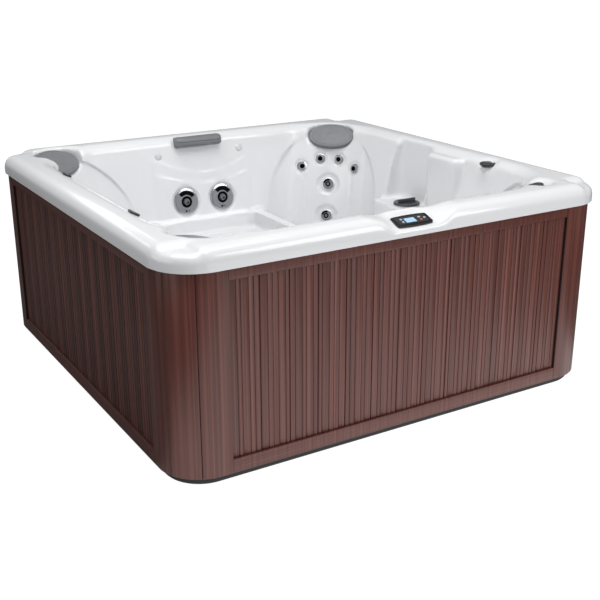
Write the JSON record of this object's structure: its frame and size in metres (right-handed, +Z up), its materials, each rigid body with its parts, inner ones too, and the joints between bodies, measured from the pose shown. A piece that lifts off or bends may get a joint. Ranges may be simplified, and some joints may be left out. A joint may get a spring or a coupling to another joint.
{
  "type": "hot tub",
  "caption": "Square hot tub: white moulded shell, corner seats, pillows, jets, control panel, and a grooved brown cabinet on a black base.",
  "frame": {"origin": "centre of the base at floor level", "axes": "+Z up, +X along the front to the right seen from the control panel side, +Y from the control panel side to the back"},
  "size_m": [2.13, 2.13, 0.939],
  "materials": {
    "acrylic_shell": "polished acrylic",
    "cabinet_board": "grained synthetic board",
    "base_plastic": "moulded",
    "frame_wood": "sawn",
    "clip_metal": "coated",
    "pillow_foam": "soft skin",
    "jet_ring": "satin",
    "jet_plastic": "moulded",
    "control_plastic": "moulded",
    "display_glass": "clear",
    "light_glass": "clear",
    "button_plastic": "moulded",
    "pipe_plastic": "extruded",
    "filter_fabric": "pleated",
    "pump_metal": "coated",
    "heater_steel": "brushed"
  },
  "bodies": {
    "tub": {"shell": "acrylic_shell", "base_pan": "base_plastic", "frame_rails": "frame_wood", "frame_studs": "frame_wood", "panel_clips": "clip_metal", "shell_supports": "base_plastic", "back_panel": "cabinet_board", "back_slats": "cabinet_board", "back_right_post": "cabinet_board", "left_panel": "cabinet_board", "left_slats": "cabinet_board", "back_left_post": "cabinet_board", "front_panel": "cabinet_board", "front_slats": "cabinet_board", "front_left_post": "cabinet_board", "right_panel": "cabinet_board", "right_slats": "cabinet_board", "front_right_post": "cabinet_board", "back_right_pillow": "pillow_foam", "front_left_pillow": "pillow_foam", "back_left_pillow": "pillow_foam", "back_middle_pillow": "pillow_foam", "large_jet_bodies": "jet_ring", "medium_jet_bodies": "jet_ring", "small_jet_bodies": "jet_ring", "wall_caps": "acrylic_shell", "suction_covers": "jet_plastic", "light_lens": "light_glass", "valve_bodies": "base_plastic", "panel_bezel": "control_plastic", "panel_display": "display_glass", "filter_canister": "pipe_plastic", "filter_cartridge": "filter_fabric", "jet_pump": "pump_metal", "control_box": "base_plastic", "heater": "heater_steel", "plumbing": "pipe_plastic"},
    "large_jet_left": {"large_jet_face_left": "jet_plastic"},
    "large_nozzle_left": {"large_jet_nozzle_left": "jet_plastic"},
    "large_jet_right": {"large_jet_face_right": "jet_plastic"},
    "large_nozzle_right": {"large_jet_nozzle_right": "jet_plastic"},
    "back_right_upper_jet": {"back_right_upper_jet_face": "jet_plastic"},
    "back_right_lower_jet": {"back_right_lower_jet_face": "jet_plastic"},
    "front_left_upper_jet": {"front_left_upper_jet_face": "jet_plastic"},
    "front_left_lower_jet": {"front_left_lower_jet_face": "jet_plastic"},
    "small_jet_1": {"small_jet_face_1": "jet_plastic"},
    "small_jet_2": {"small_jet_face_2": "jet_plastic"},
    "small_jet_3": {"small_jet_face_3": "jet_plastic"},
    "small_jet_4": {"small_jet_face_4": "jet_plastic"},
    "diverter": {"diverter_knob": "control_plastic"},
    "left_back_air": {"left_back_air_lever": "control_plastic"},
    "left_front_air": {"left_front_air_lever": "control_plastic"},
    "front_air": {"front_air_lever": "control_plastic"},
    "filter_lid_part": {"filter_lid": "control_plastic"},
    "button_1": {"panel_button_1": "button_plastic"},
    "button_2": {"panel_button_2": "button_plastic"},
    "button_3": {"panel_button_3": "button_plastic"},
    "button_4": {"panel_button_4": "button_plastic"},
    "button_5": {"panel_button_5": "button_plastic"}
  },
  "joints": [
    {"name": "large_jet_left_turn", "type": "hinge", "parent": "tub", "child": "large_jet_left", "pos_m": [-0.11, 0.85689, 0.58875], "axis": [0, -0.9839, 0.1789], "range_deg": [-60, 60]},
    {"name": "large_nozzle_left_turn", "type": "hinge", "parent": "large_jet_left", "child": "large_nozzle_left", "pos_m": [-0.11, 0.85689, 0.58875], "axis": [0, -0.9839, 0.1789], "continuous": true},
    {"name": "large_jet_right_turn", "type": "hinge", "parent": "tub", "child": "large_jet_right", "pos_m": [0.11, 0.85689, 0.58875], "axis": [0, -0.9839, 0.1789], "range_deg": [-60, 60]},
    {"name": "large_nozzle_right_turn", "type": "hinge", "parent": "large_jet_right", "child": "large_nozzle_right", "pos_m": [0.11, 0.85689, 0.58875], "axis": [0, -0.9839, 0.1789], "continuous": true},
    {"name": "back_right_upper_jet_turn", "type": "hinge", "parent": "tub", "child": "back_right_upper_jet", "pos_m": [0.75847, 0.75847, 0.603], "axis": [-0.6848, -0.6848, 0.249], "range_deg": [-60, 60]},
    {"name": "back_right_lower_jet_turn", "type": "hinge", "parent": "tub", "child": "back_right_lower_jet", "pos_m": [0.72593, 0.72593, 0.424], "axis": [-0.6848, -0.6848, 0.249], "range_deg": [-60, 60]},
    {"name": "front_left_upper_jet_turn", "type": "hinge", "parent": "tub", "child": "front_left_upper_jet", "pos_m": [-0.75847, -0.75847, 0.603], "axis": [0.6848, 0.6848, 0.249], "range_deg": [-60, 60]},
    {"name": "front_left_lower_jet_turn", "type": "hinge", "parent": "tub", "child": "front_left_lower_jet", "pos_m": [-0.72593, -0.72593, 0.424], "axis": [0.6848, 0.6848, 0.249], "range_deg": [-60, 60]},
    {"name": "small_jet_1_turn", "type": "hinge", "parent": "tub", "child": "small_jet_1", "pos_m": [0.63763, 0.85989, 0.704], "axis": [-0.3036, -0.9262, 0.2236], "range_deg": [-60, 60]},
    {"name": "small_jet_2_turn", "type": "hinge", "parent": "tub", "child": "small_jet_2", "pos_m": [0.74006, 0.81885, 0.744], "axis": [-0.5661, -0.7868, 0.246], "range_deg": [-60, 60]},
    {"name": "small_jet_3_turn", "type": "hinge", "parent": "tub", "child": "small_jet_3", "pos_m": [0.81885, 0.74006, 0.744], "axis": [-0.7868, -0.5661, 0.246], "range_deg": [-60, 60]},
    {"name": "small_jet_4_turn", "type": "hinge", "parent": "tub", "child": "small_jet_4", "pos_m": [0.85989, 0.63763, 0.704], "axis": [-0.9262, -0.3036, 0.2236], "range_deg": [-60, 60]},
    {"name": "diverter_turn", "type": "hinge", "parent": "tub", "child": "diverter", "pos_m": [0.915, -0.425, 0.912], "axis": [0, 0, 1], "range_deg": [-90, 90]},
    {"name": "left_back_air_turn", "type": "hinge", "parent": "tub", "child": "left_back_air", "pos_m": [-0.92226, 0.372, 0.9216], "axis": [0.448, 0, 0.8941], "range_deg": [0, 80]},
    {"name": "left_front_air_turn", "type": "hinge", "parent": "tub", "child": "left_front_air", "pos_m": [-0.92226, -0.44, 0.9216], "axis": [0.448, 0, 0.8941], "range_deg": [0, 80]},
    {"name": "front_air_turn", "type": "hinge", "parent": "tub", "child": "front_air", "pos_m": [0.793, -0.899, 0.921], "axis": [0, 0, 1], "range_deg": [-80, 0]},
    {"name": "filter_lid_part_turn", "type": "hinge", "parent": "tub", "child": "filter_lid_part", "pos_m": [0.858, 0.135, 0.6], "axis": [0, 0, 1], "range_deg": [0, 60]},
    {"name": "button_1_press", "type": "slide", "parent": "tub", "child": "button_1", "axis": [0, 0.3137, -0.9495], "range_m": [0, 0.001], "stiffness_N_per_m": 200},
    {"name": "button_2_press", "type": "slide", "parent": "tub", "child": "button_2", "axis": [0, 0.3137, -0.9495], "range_m": [0, 0.001], "stiffness_N_per_m": 200},
    {"name": "button_3_press", "type": "slide", "parent": "tub", "child": "button_3", "axis": [0, 0.3137, -0.9495], "range_m": [0, 0.001], "stiffness_N_per_m": 200},
    {"name": "button_4_press", "type": "slide", "parent": "tub", "child": "button_4", "axis": [0, 0.3137, -0.9495], "range_m": [0, 0.001], "stiffness_N_per_m": 200},
    {"name": "button_5_press", "type": "slide", "parent": "tub", "child": "button_5", "axis": [0, 0.3137, -0.9495], "range_m": [0, 0.001], "stiffness_N_per_m": 200}
  ]
}
